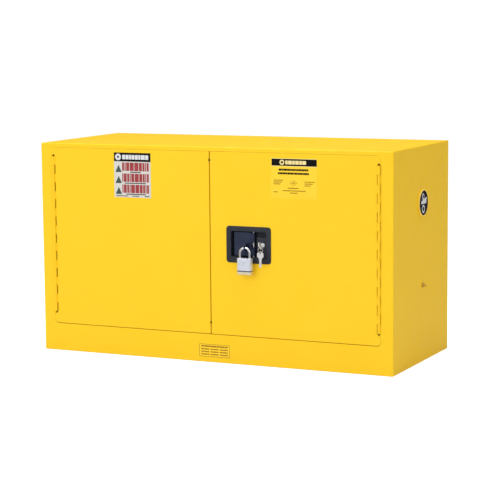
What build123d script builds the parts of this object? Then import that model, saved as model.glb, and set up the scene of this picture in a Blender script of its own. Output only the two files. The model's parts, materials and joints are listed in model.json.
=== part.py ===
"""Flammable storage cabinet: a low double-walled steel cabinet with two flush doors on piano hinges.

The right door carries a recessed paddle handle with a key lock, a padlock on its hasp eye and a latch that
throws three bolts. Inside are a leakproof sump and one adjustable shelf, and each side wall has a capped vent
with a flame arrester. The origin is the middle of the base, +Z is up and the doors face -Y. All sizes are in
millimetres.
"""

import os
from math import cos, radians, sin

from build123d import *

# -- driving dimensions -----------------------------------------------------------------------------
WIDTH = 1092.0
DEPTH = 457.0
HEIGHT = 610.0
SHEET = 1.2  # 18 gauge steel
AIR_SPACE = 38.0  # from the outside of a wall to the outside of its inner liner
BEND = 3.0  # outer radius of the folded edges
RUNNING = 0.1  # radial clearance of a pin in its hole

FRONT = -DEPTH / 2
BACK = DEPTH / 2
SIDE = WIDTH / 2

# door opening in the front frame
OPENING_X = 510.5  # half width
OPENING_Z = (80.4, 598.2)
OPENING_CORNER = 13.0
JAMB_DEPTH = 40.0
STOP_X = 493.0  # half width inside the door stop
STOP_Z = (91.0, HEIGHT - AIR_SPACE)

# doors
DOOR_X = (1.5, 510.1)  # from the meeting gap to the hinge side
DOOR_Z = (82.0, 597.8)
DOOR_THICKNESS = 37.5
DOOR_CORNER = 12.0
DOOR_EDGE = 0.5  # outer radius of the folded front edge
HINGE_X = 505.5
HINGE_Y = FRONT - 1.0
HINGE_Z = (116.0, 571.5)
KNUCKLES = 18
KNUCKLE_R = 4.2
KNUCKLE_GAP = 0.6
NOTCH_X = 499.0  # where the door's edge steps in to clear the hinge
LEAF = 1.2
LEAF_START = 6.0  # how far behind the axis a leaf's plate begins
LEAF_DEPTH = 27.0
PIN_R = 2.3
HINGE_END_GAP = 0.8
RELIEF_R = 3.6  # round openings at the hinge ends and beside them in the meeting gap
RELIEF_DEPTH = 26.0

# inner liner
LINER_X = SIDE - AIR_SPACE
LINER_Y = (FRONT + JAMB_DEPTH, BACK - AIR_SPACE)
LINER_Z = (AIR_SPACE, HEIGHT - AIR_SPACE)
SUMP_DEPTH = 52.0

# shelf and its standards
STANDARD_Y = (-140.0, 140.0)
STANDARD_Z = (104.0, 560.0)
STANDARD_WIDTH = 20.0
STANDARD_DEPTH = 8.0
SLOT_PITCH = 28.5
SLOT = (4.4, 14.0)
SHELF_Z = 300.0  # underside of the shelf's skirts
SHELF_Y = (-166.0, 180.0)
SHELF_RISE = (32.0, 22.0)  # deck height over the skirts' lower edge, at the front and at the back

# vents and ground stud, on the side walls
VENT_Y = 3.0
VENT_Z = {-1: 150.0, 1: 450.5}
VENT_BORE = 30.0
VENT_TUBE = 33.0
VENT_FLANGE = (42.0, 1.2)  # radius and thickness
VENT_CAP = (38.0, 3.2)
VENT_RIM = 3.0  # width of the raised rim round the face of a cap
GROUND = (4.0, 219.0)
GROUND_ROOT_R = 3.6
GROUND_R = 3.0  # free end
GROUND_FREE = (5.0, 11.0)  # how far out of the wall the free end starts and stops

# recessed handle
HANDLE_X = 119.0
HANDLE_Z = 340.0
BEZEL = (136.0, 103.0)
BEZEL_FRONT = FRONT - 2.0
TUB_X = (65.0, 173.0)
TUB_Z = (305.0, 378.0)
TUB_WALL = 2.0
TUB_BACK = FRONT + 20.0
PADDLE_X = (73.0, 126.0)
PADDLE_Z = (308.0, 375.0)
PADDLE_Y = (FRONT + 2.5, FRONT + 6.0)
PIVOT = (131.0, FRONT + 7.5)
PIVOT_PIN_R = 2.0
BARREL_R = 4.0
TAIL_Z = (323.0, 330.0)
EYE_X = (114.0, 117.0)

# latch
ROTOR_Y = (FRONT + 20.5, FRONT + 23.0)
ARM = 20.0
ARM_TILT = 20.0  # the arms turn from this much one side of square to this much the other side
ARM_HALF = 4.5
CRANK_PIN_R = 2.5
YOKE_Y = (FRONT + 23.7, FRONT + 28.2)
ROD_Y = FRONT + 26.0
ROD_R = 3.0
BULLET_R = 5.0
THROW = 9.0  # how far a bolt stands out of the door's edge

# key lock
LOCK_X = 161.0
LOCK_Z = 341.0
KEY_TURN = -22.0  # degrees about the lock's axis at which the keyway stands
BOW_R = 11.5
KEY_HOLE = (-18.5, -5.0)  # the bow's hole: along the lock's axis from the door's face, and up from that axis
KEY_HOLE_R = 2.6
RING_R = 7.0
RING_WIRE_R = 0.7
RING_TURN = 45.0

# padlock
PADLOCK_X = 115.5
PADLOCK_Y = FRONT - 18.0
PADLOCK_Z = (259.0, 305.0)
PADLOCK_HALF = (22.0, 9.5)
SHACKLE_R = 3.5
SHACKLE_SPAN = 14.6
SHACKLE_TOP = 333.6
EYE_Z = 334.5
EYE_R = 4.8

# labels: middle in X, middle in Z, width, height
HAZARD_LABEL = (-244.5, 523.5, 118.0, 128.0)
INFO_LABEL = (257.0, 529.0, 139.0, 111.0)
SILL_LABEL = (10.0, 33.5, 97.0, 38.0)
LABEL_THICKNESS = 0.3


# -- helpers ----------------------------------------------------------------------------------------
def block(x, y, z):
    """A box between two limits on each axis."""
    size = [abs(pair[1] - pair[0]) for pair in (x, y, z)]
    return Pos(sum(x) / 2, sum(y) / 2, sum(z) / 2) * Box(*size)


TURN = {
    "+x": Rot(0, 90, 0),
    "-x": Rot(0, -90, 0),
    "+y": Rot(-90, 0, 0),
    "-y": Rot(90, 0, 0),
    "+z": Rot(0, 0, 0),
    "-z": Rot(180, 0, 0),
}


def drum(start, radius, length, way="+z", tip=None):
    """A cylinder from a start point along an axis, or a cone if it has a tip radius."""
    align = (Align.CENTER, Align.CENTER, Align.MIN)
    solid = Cylinder(radius, length, align=align) if tip is None else Cone(radius, tip, length, align=align)
    return Pos(*start) * TURN[way] * solid


def panel(outline, y_front, thickness):
    """A sheet facing front, from an outline drawn in X and Z."""
    return Pos(0, y_front + thickness, 0) * extrude(Plane.XZ * outline, thickness)


def rounded(x, z, radius):
    """A rounded rectangle in X and Z."""
    return Pos(sum(x) / 2, sum(z) / 2) * RectangleRounded(x[1] - x[0], z[1] - z[0], radius)


def grown(pair, by):
    return (pair[0] - by, pair[1] + by)


def sided(side, near, far):
    """Two X limits on the left (-1) or right (+1) of the middle, in rising order."""
    return tuple(sorted((side * near, side * far)))


def hexagon(across_flats):
    return RegularPolygon(across_flats / 2, 6, major_radius=False)


NAMES = {-1: "left", 1: "right"}
PARTS = {}


def keep(name, shape):
    """Stores a node, as one solid or as a group of separate solids."""
    solids = shape if isinstance(shape, list) else [shape]
    solids = [solid for entry in solids for solid in entry.solids()]
    PARTS[name] = solids[0] if len(solids) == 1 else Compound(children=solids)


# -- outer shell and front frame --------------------------------------------------------------------
def make_shell():
    """The folded outer skin, split at the corners into five panels and the front of the frame."""
    hollow_by = 2 * SHEET
    outside = Box(WIDTH, DEPTH, HEIGHT)
    outside = fillet(outside.edges(), BEND)
    inside = Box(WIDTH - hollow_by, DEPTH - hollow_by, HEIGHT - hollow_by)
    inside = fillet(inside.edges(), BEND - SHEET)
    shell = Pos(0, 0, HEIGHT / 2) * (outside - inside)
    lap = BEND + 1.0
    over = 1.0
    wide, deep, tall = grown((-SIDE, SIDE), over), grown((FRONT, BACK), over), grown((0, HEIGHT), over)
    middle_y = (FRONT + lap, BACK - lap)
    middle_z = (lap + 1.0, HEIGHT - lap - 1.0)
    keep("outer_back_panel", shell & block(wide, (BACK - lap, deep[1]), tall))
    keep("outer_top_panel", shell & block(wide, middle_y, (middle_z[1], tall[1])))
    keep("outer_bottom_panel", shell & block(wide, middle_y, (tall[0], middle_z[0])))
    for side in (-1, 1):
        wall = shell & block(sided(side, SIDE - lap, SIDE + over), middle_y, middle_z)
        wall -= vent_hole(side, SIDE - 10, 20)
        if side > 0:
            wall -= drum((SIDE - 10, *GROUND), GROUND_ROOT_R + 0.2, 20, "+x")
        keep(f"outer_{NAMES[side]}_panel", wall)
    return shell & block(wide, (deep[0], FRONT + lap), tall)


def vent_hole(side, start, length):
    way = "+x" if side > 0 else "-x"
    return drum((side * start, VENT_Y, VENT_Z[side]), VENT_TUBE + 0.1, length, way)


def make_front_frame(front_skin):
    """Header, sill and two stiles: front skin, jamb behind its edge and door stop at the jamb's end."""
    opening = rounded((-OPENING_X, OPENING_X), OPENING_Z, OPENING_CORNER)
    outline = rounded(grown((-OPENING_X, OPENING_X), SHEET), grown(OPENING_Z, SHEET), OPENING_CORNER + SHEET)
    stop_opening = rounded((-STOP_X, STOP_X), STOP_Z, 3.0)
    stop_outline = rounded(grown((-OPENING_X, OPENING_X), SHEET), grown(OPENING_Z, SHEET), 3.0)
    stop_front = FRONT + JAMB_DEPTH - SHEET
    frame = front_skin - panel(opening, FRONT - 1, 10)
    frame += panel(outline - opening, FRONT + SHEET / 2, JAMB_DEPTH - SHEET / 2)
    frame += panel(stop_outline - stop_opening, stop_front, SHEET)
    for x, z in bolt_places():
        frame -= drum((x, ROD_Y, z - 10), BULLET_R + 1, 20)
    sill_top, header_foot = 100.0, 560.0
    across, through = grown((-SIDE, SIDE), 1), (FRONT - 1, 0)
    keep("frame_sill", frame & block(across, through, (-1, sill_top)))
    keep("frame_header", frame & block(across, through, (header_foot, HEIGHT + 1)))
    for side in (-1, 1):
        stile = frame & block(sided(side, 400, SIDE + 1), through, (sill_top, header_foot))
        keep(f"frame_{NAMES[side]}_stile", stile)


def bolt_places():
    """Where the top and bottom bolts cross the jambs, as X and Z."""
    return ((HANDLE_X + ARM, OPENING_Z[1]), (HANDLE_X - ARM, OPENING_Z[0]))


def make_strikes():
    """Steel plates behind the jambs that take the top and bottom bolts."""
    plates = []
    for (x, z), lift in zip(bolt_places(), (SHEET, -SHEET - 1.5)):
        plate = block((x - 18, x + 18), (ROD_Y - 10, ROD_Y + 10), (z + lift, z + lift + 1.5))
        plate = fillet(plate.edges().filter_by(Axis.Z), 3)
        plates.append(plate - drum((x, ROD_Y, z - 10), BULLET_R + 0.7, 20))
    keep("latch_strikes", plates)


# -- inner liner ------------------------------------------------------------------------------------
def make_liner():
    """Ceiling, side walls and back of the storage space, the sump pan and the channels under it."""
    inner_x = LINER_X - SHEET
    keep("inner_top_panel", block((-inner_x, inner_x), LINER_Y, (LINER_Z[1] - SHEET, LINER_Z[1])))
    back_z = (LINER_Z[0], LINER_Z[1] - SHEET)
    keep("inner_back_panel", block((-inner_x, inner_x), (LINER_Y[1] - SHEET, LINER_Y[1]), back_z))
    for side in (-1, 1):
        wall = block(sided(side, inner_x, LINER_X), LINER_Y, LINER_Z) - vent_hole(side, inner_x - 5, 15)
        keep(f"inner_{NAMES[side]}_panel", wall)
    gap = 0.2
    pan_x = (-inner_x + gap, inner_x - gap)
    pan_y = (LINER_Y[0] + gap, LINER_Y[1] - SHEET - gap)
    pan_z = (LINER_Z[0], LINER_Z[0] + SUMP_DEPTH)
    pan = block(pan_x, pan_y, pan_z)
    pan -= block(grown(pan_x, -SHEET), grown(pan_y, -SHEET), (pan_z[0] + SHEET, pan_z[1] + 1))
    keep("sump_pan", pan)
    channels = []
    for x in (-330.0, 0.0, 330.0):
        top, foot = 30.0, 55.0
        length = (LINER_Y[0] + 10, LINER_Y[1] - 10)
        hat = block((x - top, x + top), length, (SHEET, LINER_Z[0]))
        hat -= block((x - top + 1.5, x + top - 1.5), grown(length, 1), (SHEET - 1, LINER_Z[0] - 1.5))
        hat += block((x - foot, x - top + 1.5), length, (SHEET, SHEET + 1.5))
        hat += block((x + top - 1.5, x + foot), length, (SHEET, SHEET + 1.5))
        channels.append(hat)
    keep("floor_spacers", channels)


def make_standards():
    """Four slotted channels on the liner's side walls, and the clip that hangs in each."""
    standards, clips = [], []
    wall_x = LINER_X - SHEET
    face_x = wall_x - STANDARD_DEPTH
    slots = int((STANDARD_Z[1] - STANDARD_Z[0]) / SLOT_PITCH)
    clip_slot = round((SHELF_Z - STANDARD_Z[0]) / SLOT_PITCH) - 1
    for side in (-1, 1):
        for y in STANDARD_Y:
            across = (y - STANDARD_WIDTH / 2, y + STANDARD_WIDTH / 2)
            channel = block(sided(side, face_x, wall_x), across, STANDARD_Z)
            channel -= block(sided(side, face_x + 1.5, wall_x + 1), grown(across, -1.5), grown(STANDARD_Z, 1))
            for n in range(slots):
                z = STANDARD_Z[0] + (n + 0.5) * SLOT_PITCH
                slot_x = sided(side, face_x - 1, face_x + 2.5)
                slot_y = (y - SLOT[0] / 2, y + SLOT[0] / 2)
                channel -= block(slot_x, slot_y, (z - SLOT[1] / 2, z + SLOT[1] / 2))
            standards.append(channel)
            clips.append(make_clip(side, y, face_x, STANDARD_Z[0] + (clip_slot + 0.5) * SLOT_PITCH))
    keep("shelf_standards", standards)
    keep("shelf_clips", clips)


def make_clip(side, y, face_x, slot_z):
    """A shelf clip: a plate against the channel, a ledge under the shelf and a hook through the slot."""
    gap = 0.2
    across = (y - 7.0, y + 7.0)
    plate_z = (slot_z - 14, SHELF_Z + 8)
    clip = block(sided(side, face_x - gap - 2, face_x - gap), across, plate_z)
    clip += block(sided(side, face_x - gap - 18, face_x - gap), across, (SHELF_Z - gap - 2, SHELF_Z - gap))
    clip += block(sided(side, face_x - gap - 1, face_x + 4.3), (y - 1.9, y + 1.9), (slot_z - 5, slot_z + 5))
    clip += block(sided(side, face_x + 2, face_x + 4.3), (y - 1.9, y + 1.9), (slot_z - 11, slot_z + 5))
    return clip


def make_shelf():
    """A galvanised shelf whose deck falls towards the back, with skirts all round."""
    half = LINER_X - SHEET - STANDARD_DEPTH - 4.0
    front, back = SHELF_Y

    def wedge(inset, drop):
        """The shelf's block seen from the side, inset from its skirts and lowered from its deck."""
        outline = Polyline(
            (front + inset, SHELF_Z - drop),
            (back - inset, SHELF_Z - drop),
            (back - inset, SHELF_Z + SHELF_RISE[1] - drop),
            (front + inset, SHELF_Z + SHELF_RISE[0] - drop),
            close=True,
        )
        return extrude(Plane.YZ * make_face(outline), half - inset, both=True)

    shelf = wedge(0, 0) - wedge(SHEET, SHEET)
    keep("shelf", shelf)


# -- vents and ground -------------------------------------------------------------------------------
def make_vents():
    """On each side a bung through both walls, a flame arrester in it and the cap that closes it."""
    bungs, arresters = [], []
    for side in (-1, 1):
        y, z = VENT_Y, VENT_Z[side]
        out = "+x" if side > 0 else "-x"
        inner_end = LINER_X - SHEET - 2

        def tube(radius, start, length):
            return drum((side * start, y, z), radius, length, out)

        flange = VENT_FLANGE[1]
        bung = tube(VENT_TUBE, inner_end, SIDE + flange - inner_end) + tube(VENT_FLANGE[0], SIDE, flange)
        bung -= tube(VENT_BORE, inner_end - 1, SIDE + 10 - inner_end)
        bung += tube(VENT_TUBE, inner_end, 2) - tube(VENT_BORE - 3, inner_end - 1, 4)
        bungs.append(bung)
        screen = tube(VENT_BORE - 0.2, inner_end + 2.2, 3)
        for row in range(-4, 5):
            for step in range(-4, 5):
                across = (step + (row % 2) / 2) * 6.0
                up = row * 5.2
                if across**2 + up**2 < 25.0**2:
                    screen -= drum((side * (inner_end + 1), y + across, z + up), 2.2, 6, out)
        arresters.append(screen)
        seat = SIDE + flange + 0.2
        radius, thickness = VENT_CAP
        cap = tube(radius, seat, thickness)
        cap = fillet(cap.edges().sort_by(lambda edge: side * edge.center().X)[-1], 1.0)
        cap -= tube(radius - VENT_RIM, seat + thickness - 0.6, 2)
        plug = tube(VENT_BORE - RUNNING, SIDE - 12, 15) - tube(VENT_BORE - 4, SIDE - 13, 14)
        keep(f"{NAMES[side]}_vent_cap", cap + plug)
    keep("vent_bungs", bungs)
    keep("flame_arresters", arresters)


def make_ground():
    """A stud through the right wall for the grounding wire, with its washer and nut."""
    y, z = GROUND
    start, stop = GROUND_FREE
    groove = 0.3
    stud = drum((SIDE - 8, y, z), 6.5, 8 - SHEET, "+x")
    stud += drum((SIDE - SHEET, y, z), GROUND_ROOT_R, SHEET + start - groove, "+x")
    stud += drum((SIDE + start - groove, y, z), GROUND_R - 0.5, groove, "+x")
    stud += drum((SIDE + start, y, z), GROUND_R, stop - start, "+x")
    keep("ground_stud", stud)
    hole = drum((SIDE - 1, y, z), GROUND_ROOT_R + RUNNING, 12, "+x")
    nut = Pos(SIDE + 1, y, z) * TURN["+x"] * extrude(hexagon(11), start - groove - 1)
    keep("ground_nut", [drum((SIDE, y, z), 7, 1, "+x") - hole, nut - hole])


# -- doors ------------------------------------------------------------------------------------------
def door_outline(side, inset=0.0):
    """A door's outline in X and Z: square corners at the meeting gap and round ones at the hinge side."""
    near, far = DOOR_X[0] + inset, DOOR_X[1] - inset
    low, high = DOOR_Z[0] + inset, DOOR_Z[1] - inset
    plate = rounded(sided(side, near, far), (low, high), DOOR_CORNER - inset)
    square = Rectangle(2 * DOOR_CORNER, high - low)
    plate += Pos(side * (near + DOOR_CORNER), (low + high) / 2) * square
    return plate


def relief_places(side):
    """Middles of the round openings in a door's front, as X and Z: at the hinge ends and in the gap."""
    ends = (HINGE_Z[0] - 2.0, HINGE_Z[1] + 2.0)
    return [(x, z) for x in (side * (HINGE_X - 1), 0) for z in ends]


def make_door(side):
    """A door: the outer pan with its folded edges, and the inner pan that closes its back."""
    back = FRONT + DOOR_THICKNESS
    outer = panel(door_outline(side), FRONT, DOOR_THICKNESS)
    outer = fillet(outer.faces().sort_by(Axis.Y)[0].edges(), DOOR_EDGE)
    hollow = panel(door_outline(side, SHEET), FRONT + SHEET, DOOR_THICKNESS)
    notch_z = grown(HINGE_Z, HINGE_END_GAP)
    notch = block(sided(side, NOTCH_X, SIDE), (FRONT - 1, back + 1), notch_z)
    wall = block(sided(side, NOTCH_X - SHEET, SIDE), (FRONT - 1, back + 1), grown(notch_z, SHEET))
    outer = (outer - hollow) + (outer & (wall - notch)) - notch
    for x, z in relief_places(side):
        outer -= drum((x, FRONT - 1, z), RELIEF_R, RELIEF_DEPTH, "+y")
    edge = SHEET + 0.15
    lip = 5.0
    inner = panel(door_outline(side, edge), back - lip, lip)
    inner -= panel(door_outline(side, edge + SHEET), back - lip - 1, lip + 1 - SHEET)
    inner_notch = block(sided(side, NOTCH_X - edge, SIDE), (FRONT, back + 1), grown(notch_z, edge))
    inner_wall_x = sided(side, NOTCH_X - edge - SHEET, SIDE)
    inner_wall = block(inner_wall_x, (back - lip, back), grown(notch_z, edge + SHEET))
    inner = (inner + (panel(door_outline(side, edge), back - lip, lip) & inner_wall)) - inner_notch
    return outer, inner


def make_doors():
    bolt_slot = block((-8, 8), grown(YOKE_Y, 0.4), grown(centre_bolt_z(), 0.6))
    outer, inner = make_door(-1)
    keep("left_door_outer_pan", outer - bolt_slot)
    keep("left_door_inner_pan", inner)
    strike_x = (-DOOR_X[0] - SHEET - 1.5, -DOOR_X[0] - SHEET)
    strike = block(strike_x, (ROD_Y - 9, ROD_Y + 5), grown(centre_bolt_z(), 14))
    keep("left_door_strike", strike - bolt_slot)
    outer, inner = make_door(1)
    outer -= bolt_slot
    outer -= panel(rounded(grown(TUB_X, TUB_WALL + 0.6), grown(TUB_Z, TUB_WALL + 0.6), 6), FRONT - 1, 5)
    for x, z in screw_places():
        outer -= drum((x, FRONT - 1, z), 4.3, 5, "+y")
    for x, z in ((HANDLE_X + ARM, DOOR_Z[1]), (HANDLE_X - ARM, DOOR_Z[0])):
        outer -= drum((x, ROD_Y, z - 6), BULLET_R + 0.4, 12)
    keep("right_door_outer_pan", outer)
    keep("right_door_inner_pan", inner)


def make_hinge(side):
    """A piano hinge: knuckles alternate between the leaf on the jamb and the leaf on the door's edge."""
    length = HINGE_Z[1] - HINGE_Z[0]
    pitch = length / KNUCKLES
    x = side * HINGE_X
    for owner, face in (("frame", side * OPENING_X), ("door", side * NOTCH_X)):
        inward = 1 if x > face else -1
        plate = sorted((face, face + inward * LEAF))
        leaf = block(plate, (HINGE_Y + LEAF_START, HINGE_Y + LEAF_DEPTH), HINGE_Z)
        for n in range(0 if owner == "frame" else 1, KNUCKLES, 2):
            z = HINGE_Z[0] + n * pitch
            low, high = z + KNUCKLE_GAP / 2, z + pitch - KNUCKLE_GAP / 2
            leaf += drum((x, HINGE_Y, low), KNUCKLE_R, high - low)
            neck = sorted((x - inward * (PIN_R + 0.4), face))
            leaf += block(neck, (HINGE_Y, HINGE_Y + LEAF_START + LEAF), (low, high))
        leaf -= drum((x, HINGE_Y, HINGE_Z[0] - 1), PIN_R + RUNNING, length + 2)
        keep(f"{NAMES[side]}_hinge_{owner}_leaf", leaf)
    return drum((x, HINGE_Y, HINGE_Z[0] - 0.3), PIN_R, length + 0.6)


# -- handle -----------------------------------------------------------------------------------------
def screw_places():
    return [(HANDLE_X + i * 62.5, HANDLE_Z + k * 46.0) for i in (-1, 1) for k in (-1, 1)]


def make_housing():
    """The die-cast tub of the handle, with its bezel, the block round the lock and the seat of the rotor."""
    bezel_x = (HANDLE_X - BEZEL[0] / 2, HANDLE_X + BEZEL[0] / 2)
    bezel_z = (HANDLE_Z - BEZEL[1] / 2, HANDLE_Z + BEZEL[1] / 2)
    bezel = panel(rounded(bezel_x, bezel_z, 9), BEZEL_FRONT, FRONT - BEZEL_FRONT)
    bezel = fillet(bezel.faces().sort_by(Axis.Y)[0].edges(), 1.2)
    tub = rounded(grown(TUB_X, TUB_WALL), grown(TUB_Z, TUB_WALL), 5)
    housing = bezel + panel(tub, FRONT, TUB_BACK - FRONT)
    housing -= panel(rounded(TUB_X, TUB_Z, 3), BEZEL_FRONT - 1, TUB_BACK - TUB_WALL - BEZEL_FRONT + 1)
    lock_block = block((143.0, TUB_X[1] + 1), (FRONT + 2.5, TUB_BACK), (325.0, 362.0))
    lock_block = fillet(lock_block.edges().filter_by(Axis.Y).sort_by(Axis.X)[:2], 2)
    housing += lock_block
    housing += block((143.0, TUB_X[1] + 1), (FRONT + 9, TUB_BACK), (TUB_Z[0] - 1, 325.5))
    housing -= drum((LOCK_X, FRONT, LOCK_Z), 9.5, 30, "+y")
    housing += drum((HANDLE_X, TUB_BACK, HANDLE_Z), 4, 3.3, "+y")
    housing -= drum((HANDLE_X, TUB_BACK - 1, HANDLE_Z), 1.9, 5, "+y")
    housing -= block((117.0, 138.5), (TUB_BACK - 5, TUB_BACK + 1), (321.5, 331.5))
    for x, z in screw_places():
        housing += drum((x, FRONT, z), 3.9, 1, "+y")
        housing -= drum((x, FRONT - 1.2, z), 1.9, 3, "+y")
    for z in (TUB_Z[0] - TUB_WALL - 1, TUB_Z[1] - 1):
        housing -= drum((*PIVOT, z), PIVOT_PIN_R + 0.05, TUB_WALL + 2)
    keep("handle_housing", housing)
    screws = []
    for x, z in screw_places():
        screw = drum((x, FRONT - 1.1, z), 1.8, 4, "+y") + drum((x, FRONT + 2.2, z), 3.6, 2.4, "+y")
        washer = drum((x, FRONT + SHEET, z), 6, 1, "+y") - drum((x, FRONT, z), 1.9, 5, "+y")
        screws += [screw, washer]
    seat = TUB_BACK + 3.3
    rotor_screw = drum((HANDLE_X, seat - 4, HANDLE_Z), 1.8, 4, "+y")
    rotor_screw += drum((HANDLE_X, seat, HANDLE_Z), 6.5, 2, "+y")
    keep("handle_screws", [*screws, rotor_screw])


def make_paddle():
    """The pull plate with its finger lip, pivot barrels, latch tail and padlock eye."""
    x, y = PIVOT
    plate = panel(rounded(PADDLE_X, PADDLE_Z, 3), PADDLE_Y[0], PADDLE_Y[1] - PADDLE_Y[0])
    plate = fillet(plate.faces().sort_by(Axis.Y)[0].edges(), 1.5)
    lip_x = (PADDLE_X[0], PADDLE_X[0] + 3)
    paddle = plate + block(lip_x, (PADDLE_Y[0] + 1.6, FRONT + 10.5), grown(PADDLE_Z, -3))
    for low, high in ((310.0, 332.5), (347.5, 373.0)):
        paddle += drum((x, y, low), BARREL_R, high - low)
        paddle += block((PADDLE_X[1] - 3, x), (PADDLE_Y[0] + 1, PADDLE_Y[1] + 1.5), (low, high))
    paddle += block((x + 0.4, x + 4.0), (y, y + 19.5), TAIL_Z)
    paddle -= drum((x, y, PADDLE_Z[0]), PIVOT_PIN_R + RUNNING, PADDLE_Z[1] - PADDLE_Z[0])
    eye_tip = PADLOCK_Y - 6.5
    eye = block(EYE_X, (eye_tip, PADDLE_Y[1] - 1), (323.0, 346.0))
    eye = fillet(eye.edges().filter_by(Axis.X).sort_by(Axis.Y)[:2], 6)
    eye -= drum((EYE_X[0] - 1, PADLOCK_Y, EYE_Z), EYE_R, 8, "+x")
    keep("paddle", paddle + eye)
    keep("paddle_pin", drum((x, y, TUB_Z[0] - TUB_WALL), PIVOT_PIN_R, TUB_Z[1] - TUB_Z[0] + 2 * TUB_WALL))
    coil = Helix(1.6, 9.6, 3.5, center=(x, y, 335.2))
    wire = Plane(origin=coil @ 0, z_dir=coil % 0) * Circle(0.6)
    keep("paddle_spring", sweep(wire, path=coil, is_frenet=True))


def crank(angle):
    """A point on the rotor's crank circle, as X and Z, at an angle up from +X."""
    return HANDLE_X + ARM * cos(radians(angle)), HANDLE_Z + ARM * sin(radians(angle))


def centre_bolt_z():
    middle = crank(90 + ARM_TILT)[1]
    return (middle - 4, middle + 4)


def make_latch():
    """The rotor that the paddle turns, and the two rods and the centre bolt that its pins draw in."""
    low, high = ROTOR_Y
    rotor = drum((HANDLE_X, low, HANDLE_Z), 9, high - low, "+y")
    for arm in range(4):
        bar = block((0, ARM), (low, high), (-ARM_HALF, ARM_HALF))
        bar += drum((ARM, low, 0), ARM_HALF, high - low, "+y")
        if arm < 3:
            bar += drum((ARM, high - 0.5, 0), CRANK_PIN_R, YOKE_Y[1] - high + 1, "+y")
        rotor += Pos(HANDLE_X, 0, HANDLE_Z) * Rot(0, -ARM_TILT - 90 * arm, 0) * bar
    keep("latch_rotor", rotor - drum((HANDLE_X, low - 1, HANDLE_Z), 4.2, 5, "+y"))

    play = 0.4
    slot_half = CRANK_PIN_R + play
    for name, sign in (("top", 1), ("bottom", -1)):
        x = HANDLE_X + sign * ARM
        pin_z = crank(ARM_TILT if sign > 0 else 180 + ARM_TILT)[1]
        yoke = block(sorted((x - sign * 6, x + sign * 5)), YOKE_Y, (pin_z - 6, pin_z + 6))
        slot = sorted((x - sign * 4.6, x + sign * 3.4))
        yoke -= block(slot, grown(YOKE_Y, 1), (pin_z - slot_half, pin_z + slot_half))
        door_edge = DOOR_Z[1] if sign > 0 else DOOR_Z[0]
        way = "+z" if sign > 0 else "-z"
        rod_start = pin_z + sign * 5
        shoulder = door_edge - sign * 15
        rod = yoke + drum((x, ROD_Y, rod_start), ROD_R, abs(shoulder - rod_start), way)
        keep(f"{name}_latch_rod", rod)
        nose = door_edge + sign * (THROW - 5)
        bullet = drum((x, ROD_Y, shoulder), BULLET_R, abs(nose - shoulder), way)
        bullet += drum((x, ROD_Y, nose), BULLET_R, 5, way, tip=1.5)
        keep(f"{name}_latch_bullet", bullet)

    pin_x = crank(90 + ARM_TILT)[0]
    bolt_z = centre_bolt_z()
    bolt = block((pin_x - 6, pin_x + 6), YOKE_Y, (bolt_z[0] - 4, bolt_z[1] + 5))
    bolt_slot_z = (bolt_z[0] + 0.2, bolt_z[1] + 1.4)
    bolt -= block((pin_x - slot_half, pin_x + slot_half), grown(YOKE_Y, 1), bolt_slot_z)
    bar = block((-THROW, pin_x - 5), (YOKE_Y[0] + 0.3, YOKE_Y[1] - 0.3), bolt_z)
    keep("centre_latch_bolt", bolt + chamfer(bar.faces().sort_by(Axis.X)[0].edges().filter_by(Axis.Z), 1.2))


def make_guides():
    """Brackets on the inner pan that keep the rods and the centre bolt straight."""
    back = FRONT + DOOR_THICKNESS - SHEET
    guides = []
    for x, heights in ((HANDLE_X + ARM, (450.0, 545.0)), (HANDLE_X - ARM, (230.0, 130.0))):
        for z in heights:
            guide = block((x - 8, x + 8), (ROD_Y - 5.5, back), (z - 4, z + 4))
            guides.append(guide - drum((x, ROD_Y, z - 5), ROD_R + 0.3, 10))
    for x in (30.0, 72.0):
        guide = block((x - 4, x + 4), (YOKE_Y[0] - 3, back), grown(centre_bolt_z(), 5))
        guides.append(guide - block((x - 5, x + 5), grown(YOKE_Y, 0.1), grown(centre_bolt_z(), 0.4)))
    keep("rod_guides", guides)


# -- lock and keys ----------------------------------------------------------------------------------
def at_lock(shape):
    """Places a shape drawn round the Y axis on the lock's axis, turned to the keyway's angle."""
    return Pos(LOCK_X, 0, LOCK_Z) * Rot(0, KEY_TURN, 0) * shape


def make_lock():
    barrel = drum((LOCK_X, FRONT + 0.5, LOCK_Z), 11, 2, "+y")
    barrel += drum((LOCK_X, FRONT + 2, LOCK_Z), 9.3, 20, "+y")
    barrel -= drum((LOCK_X, FRONT - 1, LOCK_Z), 6.6, 30, "+y")
    keep("lock_cylinder", barrel)
    nut = Pos(LOCK_X, TUB_BACK + 3, LOCK_Z) * TURN["-y"] * extrude(hexagon(22), 3)
    keep("lock_nut", nut - drum((LOCK_X, TUB_BACK - 1, LOCK_Z), 9.4, 6, "+y"))
    plug = drum((0, FRONT - 0.1, 0), 6.5, 24.4, "+y")
    plug -= block((-1.1, 1.1), (FRONT - 1, FRONT + 22), (-4, 4))
    keep("lock_plug", at_lock(plug))
    cam_y = FRONT + 24.3
    cam = drum((LOCK_X, cam_y, LOCK_Z), 6, 1.8, "+y") + drum((LOCK_X, cam_y + 1.8, LOCK_Z), 3, 1.8, "+y")
    cam += block((LOCK_X - 3.5, LOCK_X + 3.5), (cam_y, cam_y + 1.8), (LOCK_Z, LOCK_Z + 12))
    keep("lock_cam", cam)


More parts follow.
